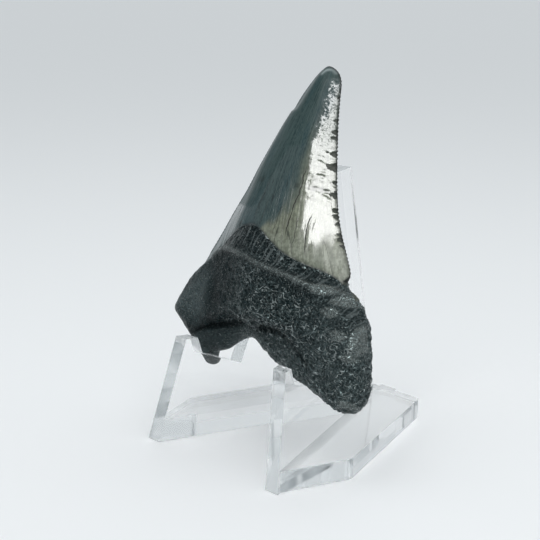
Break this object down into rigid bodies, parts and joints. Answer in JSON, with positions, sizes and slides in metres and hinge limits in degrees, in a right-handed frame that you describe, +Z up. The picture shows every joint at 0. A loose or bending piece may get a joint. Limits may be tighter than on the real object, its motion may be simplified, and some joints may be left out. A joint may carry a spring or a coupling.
{
  "type": "megalodon tooth on a display stand",
  "caption": "Fossil shark tooth with a serrated crown and a two-lobed root, leaning in the seats of a clear moulded easel that stands on a flat base.",
  "frame": {"origin": "middle of the whole object's footprint, at the floor", "axes": "+Z up; -Y is the front, the way the tooth's domed face looks; +X to the right seen from the front"},
  "size_m": [0.053, 0.0496, 0.074],
  "materials": {
    "fossil": "glossy enamel crown in grey-green and olive, satin pitted charcoal root",
    "clear_plastic": "clear, polished, moulded"
  },
  "bodies": {
    "root": {"tooth": "fossil", "stand": "clear_plastic"}
  },
  "joints": []
}
